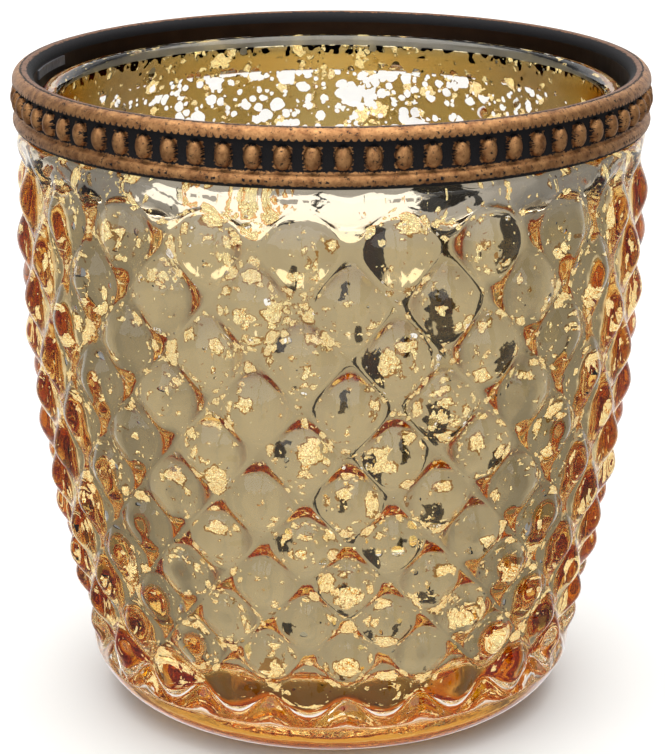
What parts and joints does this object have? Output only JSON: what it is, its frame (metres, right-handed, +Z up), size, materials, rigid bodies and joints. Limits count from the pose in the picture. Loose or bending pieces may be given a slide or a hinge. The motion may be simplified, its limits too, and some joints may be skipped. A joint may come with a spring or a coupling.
{
  "type": "tealight holder",
  "caption": "Round tealight holder: a tapering glass cup pressed with diamonds, gold mirror-lined inside, with a beaded antique-copper rim band.",
  "frame": {"origin": "middle of the foot, on the surface that the holder stands on", "axes": "+Z up along the cup's axis, towards the mouth; -Y is the front, -50.6 degrees from +X is the braze line of the copper band"},
  "size_m": [0.0808, 0.0807, 0.083],
  "materials": {
    "clear_glass": "fire-polished pressed clear glass",
    "gold_mirror": "pale gold silvering, speckled with clear holes",
    "dark_copper": "oxidised almost black",
    "antique_copper": "antique copper plate, black in the recesses and rubbed bright on the high parts",
    "solder": "flattened soft solder",
    "glue": "set clear glue, a little cloudy"
  },
  "bodies": {
    "root": {"glass_cup": "clear_glass", "mirror_lining": "gold_mirror", "inner_collar": "dark_copper", "beaded_band": "antique_copper", "band_braze": "antique_copper", "collar_solder": "solder", "glue_ring": "glue"}
  },
  "joints": []
}
